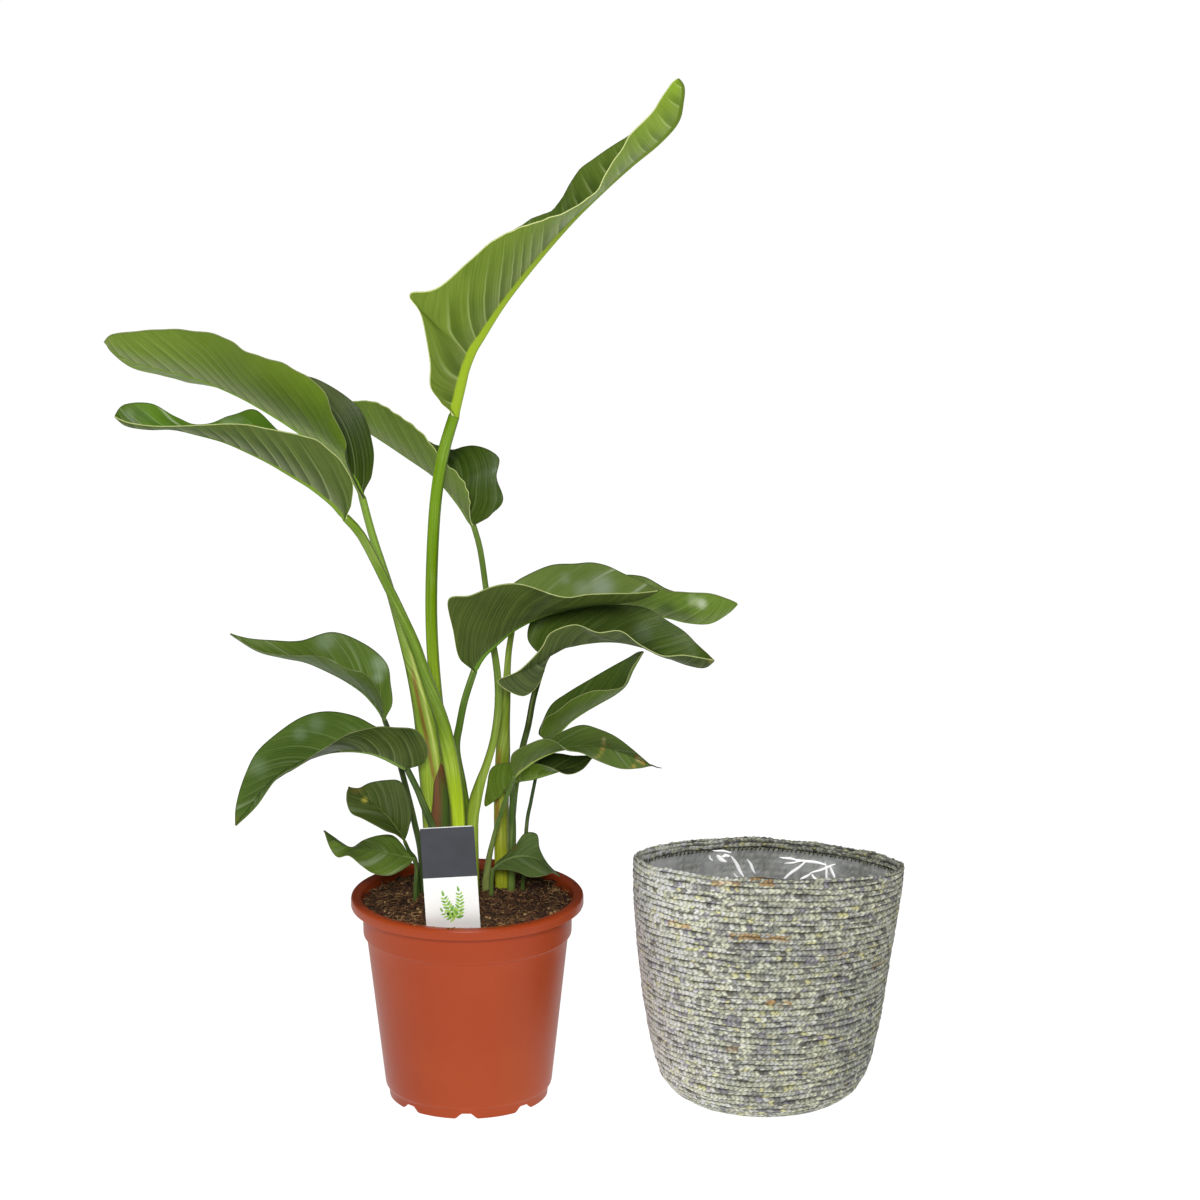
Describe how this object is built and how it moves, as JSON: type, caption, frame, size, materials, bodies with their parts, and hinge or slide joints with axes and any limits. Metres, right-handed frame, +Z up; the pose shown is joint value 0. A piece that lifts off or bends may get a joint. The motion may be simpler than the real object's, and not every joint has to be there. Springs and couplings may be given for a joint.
{
  "type": "potted bird of paradise",
  "caption": "Young bird of paradise with folded, glossy, veined leaves on upright stalks in a terracotta coloured nursery pot of soil with a plant label, beside a soft woven lined basket.",
  "frame": {"origin": "centre of the bounding box, on the floor that the pot and the basket stand on", "axes": "+Z up; the front of the plant, with its label, faces -Y; the basket stands towards +X"},
  "size_m": [0.576, 0.17, 0.7451],
  "materials": {
    "leaf": "glossy waxy green leaf with pale veins and margin",
    "sheath": "dry dark green and brown leaf sheath",
    "pot": "satin terracotta coloured moulded plastic",
    "soil": "loose fibrous coir potting soil, matt",
    "label": "printed white and dark grey plastic card, satin",
    "basket": "woven seagrass, matt grey green",
    "liner": "thin clear film, glossy"
  },
  "bodies": {
    "root": {"leaf_tall": "leaf", "leaf_upper_left": "leaf", "leaf_lower_left": "leaf", "leaf_behind": "leaf", "leaf_front_right": "leaf", "leaf_back_right": "leaf", "leaf_low_right": "leaf", "leaf_slim_right": "leaf", "leaf_spotted": "leaf", "leaf_wrapping": "leaf", "leaf_left": "leaf", "leaf_drooping": "leaf", "leaf_ragged": "leaf", "leaf_low_left": "leaf", "leaf_over_soil": "leaf", "old_sheath": "sheath", "pot": "pot", "soil": "soil", "label": "label", "basket": "basket", "basket_liner": "liner"}
  },
  "joints": []
}
